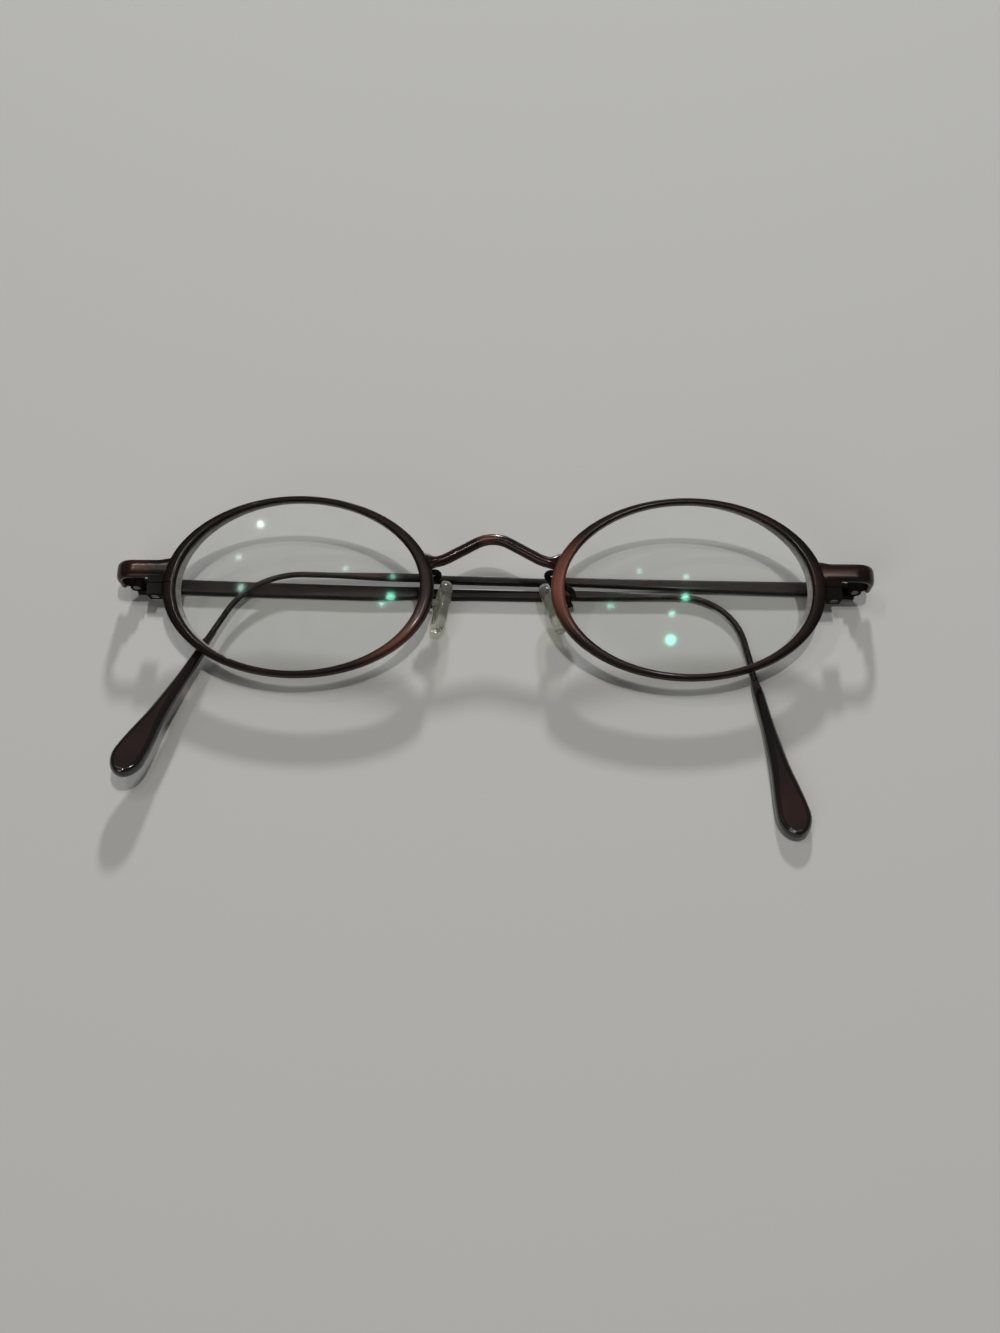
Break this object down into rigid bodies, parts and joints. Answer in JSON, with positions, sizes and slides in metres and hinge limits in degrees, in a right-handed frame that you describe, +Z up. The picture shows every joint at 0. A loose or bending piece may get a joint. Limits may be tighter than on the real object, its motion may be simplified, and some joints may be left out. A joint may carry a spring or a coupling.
{
  "type": "eyeglasses",
  "caption": "Oval metal eyeglasses with clear lenses, an arched bridge, rocking nose pads on wire arms, and hinged temples that fold flat and end in teardrop tips.",
  "frame": {"origin": "on the underside of the left temple, midway between the lenses, as the folded glasses lie", "axes": "+X across the face towards the wearer's right lens as seen from the front, +Y up the face, +Z up off the table, out of the front of the lenses"},
  "size_m": [0.124, 0.0552, 0.0135],
  "materials": {
    "lacquered_metal": "dark brown lacquer, glossy, worn to a reddish bronze",
    "tip_plastic": "dark burgundy-brown, glossy",
    "lens": "clear and polished, with a green sheen from its coating",
    "silicone": "clear soft silicone, slightly yellowed",
    "insert_plastic": "stiff clear plastic",
    "screw_steel": "small turned steel"
  },
  "bodies": {
    "front": {"bridge": "lacquered_metal", "left_endpiece": "lacquered_metal", "left_front_leaf": "lacquered_metal", "left_hinge_screw": "screw_steel", "left_lens": "lens", "left_lock_lower": "lacquered_metal", "left_lock_screw": "screw_steel", "left_lock_upper": "lacquered_metal", "left_pad_arm": "lacquered_metal", "left_pad_box": "lacquered_metal", "left_pad_screw": "screw_steel", "left_rim": "lacquered_metal", "right_endpiece": "lacquered_metal", "right_front_leaf": "lacquered_metal", "right_hinge_screw": "screw_steel", "right_lens": "lens", "right_lock_lower": "lacquered_metal", "right_lock_screw": "screw_steel", "right_lock_upper": "lacquered_metal", "right_pad_arm": "lacquered_metal", "right_pad_box": "lacquered_metal", "right_pad_screw": "screw_steel", "right_rim": "lacquered_metal"},
    "left_temple": {"left_temple": "lacquered_metal", "left_temple_leaf": "lacquered_metal", "left_tip": "tip_plastic"},
    "right_temple": {"right_temple": "lacquered_metal", "right_temple_leaf": "lacquered_metal", "right_tip": "tip_plastic"},
    "left_pad": {"left_pad": "silicone", "left_pad_insert": "insert_plastic"},
    "right_pad": {"right_pad": "silicone", "right_pad_insert": "insert_plastic"}
  },
  "joints": [
    {"name": "left_temple_fold", "type": "hinge", "parent": "front", "child": "left_temple", "pos_m": [-0.0594, 0.00104, 0.0026], "axis": [0.0175, 0.9998, 0], "range_deg": [0, 93]},
    {"name": "right_temple_fold", "type": "hinge", "parent": "front", "child": "right_temple", "pos_m": [0.0594, 0.00104, 0.0026], "axis": [-0.0175, -0.9998, 0], "range_deg": [0, 93]},
    {"name": "left_pad_rock", "type": "hinge", "parent": "front", "child": "left_pad", "pos_m": [-0.01015, -0.00392, 0.00386], "axis": [0.3357, -0.2907, 0.896], "range_deg": [-6, 6]},
    {"name": "right_pad_rock", "type": "hinge", "parent": "front", "child": "right_pad", "pos_m": [0.0114, -0.00392, 0.00386], "axis": [0.1299, 0.288, -0.9488], "range_deg": [-6, 6]}
  ]
}
